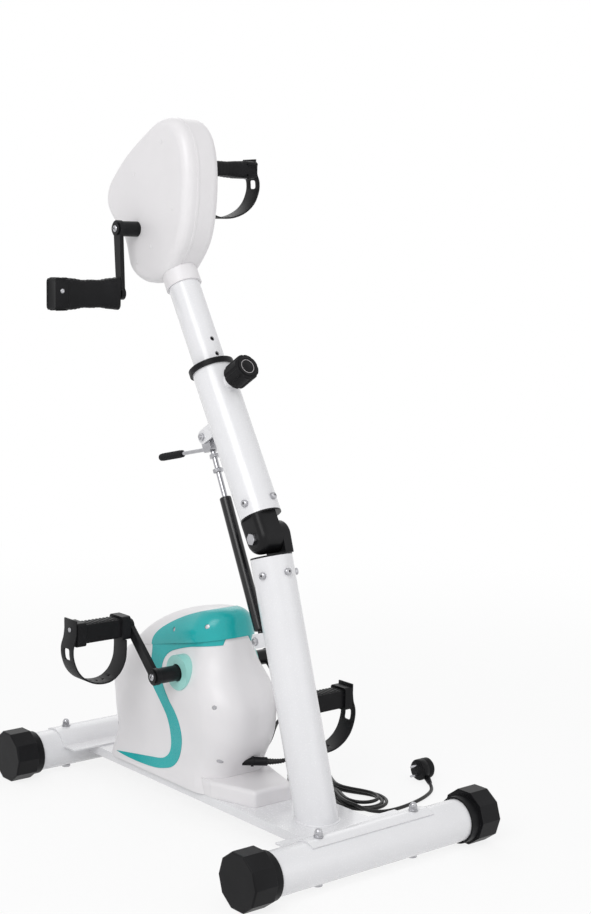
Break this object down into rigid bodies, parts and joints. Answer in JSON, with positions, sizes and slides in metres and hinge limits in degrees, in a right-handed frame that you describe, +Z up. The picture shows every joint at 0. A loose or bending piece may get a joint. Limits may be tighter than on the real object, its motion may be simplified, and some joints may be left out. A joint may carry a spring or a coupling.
{
  "type": "arm and leg pedal exerciser",
  "caption": "Floor-standing motorised exerciser: a base with a leg crank drive and strapped pedals, and a tilting telescopic mast with an arm crank head.",
  "frame": {"origin": "on the floor, midway between the two base tubes and on the machine's middle plane", "axes": "+Z up; the user sits on the +Y side; +X is the machine's right side as the user sees it from behind the machine"},
  "size_m": [0.715, 0.8898, 1.2885],
  "materials": {
    "white_paint": "smooth white powder coat",
    "black_paint": "satin black paint",
    "white_shell": "glossy white moulding",
    "teal_shell": "glossy teal moulding",
    "black_plastic": "matt black moulding",
    "grip_rubber": "matt moulded rubber",
    "strap_rubber": "soft black rubber",
    "steel": "zinc plated",
    "chrome_rod": "polished",
    "gas_black": "gloss black",
    "motor_metal": "cast and machined",
    "board_green": "circuit board",
    "belt_rubber": "ribbed belt",
    "cord_rubber": "black cord sheath"
  },
  "bodies": {
    "base": {"base_tubes": "white_paint", "end_caps": "black_plastic", "base_tray": "white_paint", "saddles": "white_paint", "base_bolts": "steel", "lower_mast": "white_paint", "hinge_tongue": "black_paint", "spring_bracket_lower": "white_paint", "leg_shell_left": "white_shell", "leg_shell_right": "white_shell", "crown_cover": "white_shell", "shell_screws": "steel", "teal_inlays": "teal_shell", "hub_rings": "teal_shell", "terminal_cover": "white_shell", "leg_frame": "white_paint", "leg_bearings": "steel", "leg_motor": "motor_metal", "control_board": "board_green", "drive_belt": "belt_rubber", "cord_gland": "black_plastic", "cord_lead": "cord_rubber", "cord_hank": "cord_rubber", "cord_tail": "cord_rubber", "plug": "cord_rubber"},
    "upper_mast": {"upper_mast": "white_paint", "hinge_fork": "black_paint", "hinge_bolt": "steel", "mast_bolts": "steel", "collar_ring": "black_plastic", "spring_bracket_upper": "steel"},
    "lock_knob": {"lock_knob": "black_plastic"},
    "gas_cylinder": {"gas_cylinder": "gas_black"},
    "gas_rod": {"gas_rod": "chrome_rod", "release_head": "steel"},
    "release_lever": {"release_lever": "black_plastic"},
    "inner_mast": {"inner_mast": "white_paint", "mast_neck": "white_shell", "arm_shell_left": "white_shell", "arm_shell_right": "white_shell", "arm_screws": "steel", "arm_gearmotor": "motor_metal"},
    "arm_crankset": {"arm_axle": "steel", "arm_crank_left": "black_paint", "arm_crank_right": "black_paint", "arm_crank_bolts": "steel"},
    "arm_grip_left": {"arm_grip_left": "grip_rubber"},
    "arm_grip_right": {"arm_grip_right": "grip_rubber", "arm_strap_right": "strap_rubber"},
    "leg_crankset": {"leg_axle": "steel", "leg_pulley": "motor_metal", "leg_crank_left": "black_paint", "leg_crank_right": "black_paint", "leg_crank_bolts": "steel"},
    "motor_pulley": {"motor_pulley": "motor_metal"},
    "leg_pedal_left": {"leg_pedal_left": "grip_rubber", "leg_strap_left": "strap_rubber"},
    "leg_pedal_right": {"leg_pedal_right": "grip_rubber", "leg_strap_right": "strap_rubber"}
  },
  "joints": [
    {"name": "mast_tilt", "type": "hinge", "parent": "base", "child": "upper_mast", "pos_m": [0, -0.11518, 0.537], "axis": [1, 0, 0], "range_deg": [-20, 8]},
    {"name": "spring_swing", "type": "hinge", "parent": "base", "child": "gas_cylinder", "pos_m": [0, -0.10445, 0.34617], "axis": [1, 0, 0], "range_deg": [-12, 5]},
    {"name": "spring_slide", "type": "slide", "parent": "gas_cylinder", "child": "gas_rod", "axis": [0, 0.4291, 0.9033], "range_m": [-0.036, 0.0145]},
    {"name": "release_press", "type": "hinge", "parent": "gas_rod", "child": "release_lever", "pos_m": [0, 0.06113, 0.67842], "axis": [1, 0, 0], "range_deg": [0, 10], "stiffness_Nm_per_rad": 1, "springref_deg": -11.46},
    {"name": "knob_pull", "type": "slide", "parent": "upper_mast", "child": "lock_knob", "axis": [0, -0.859, 0.512], "range_m": [0, 0.012], "stiffness_N_per_m": 400, "springref_m": -0.01},
    {"name": "height_slide", "type": "slide", "parent": "upper_mast", "child": "inner_mast", "axis": [0, 0.512, 0.859], "range_m": [-0.093, 0.093]},
    {"name": "arm_crank_spin", "type": "hinge", "parent": "inner_mast", "child": "arm_crankset", "pos_m": [0, 0.247, 1.083], "axis": [1, 0, 0], "continuous": true},
    {"name": "arm_grip_left_spin", "type": "hinge", "parent": "arm_crankset", "child": "arm_grip_left", "pos_m": [0, 0.23849, 0.9613], "axis": [1, 0, 0], "continuous": true},
    {"name": "arm_grip_right_spin", "type": "hinge", "parent": "arm_crankset", "child": "arm_grip_right", "pos_m": [0, 0.25551, 1.2047], "axis": [1, 0, 0], "continuous": true},
    {"name": "leg_crank_spin", "type": "hinge", "parent": "base", "child": "leg_crankset", "pos_m": [-0.01, 0.032, 0.271], "axis": [1, 0, 0], "continuous": true},
    {"name": "motor_pulley_spin", "type": "hinge", "parent": "base", "child": "motor_pulley", "pos_m": [-0.01, 0.186, 0.148], "axis": [1, 0, 0], "continuous": true},
    {"name": "leg_pedal_left_spin", "type": "hinge", "parent": "leg_crankset", "child": "leg_pedal_left", "pos_m": [-0.01, 0.1183, 0.35148], "axis": [1, 0, 0], "continuous": true},
    {"name": "leg_pedal_right_spin", "type": "hinge", "parent": "leg_crankset", "child": "leg_pedal_right", "pos_m": [-0.01, -0.0543, 0.19052], "axis": [1, 0, 0], "continuous": true}
  ],
  "couplings": [
    {"joint": "spring_swing", "follows": "mast_tilt", "ratio": 0.57793},
    {"joint": "spring_slide", "follows": "mast_tilt", "m_per_rad": 0.10124},
    {"joint": "motor_pulley_spin", "follows": "leg_crank_spin", "ratio": 2.8}
  ]
}
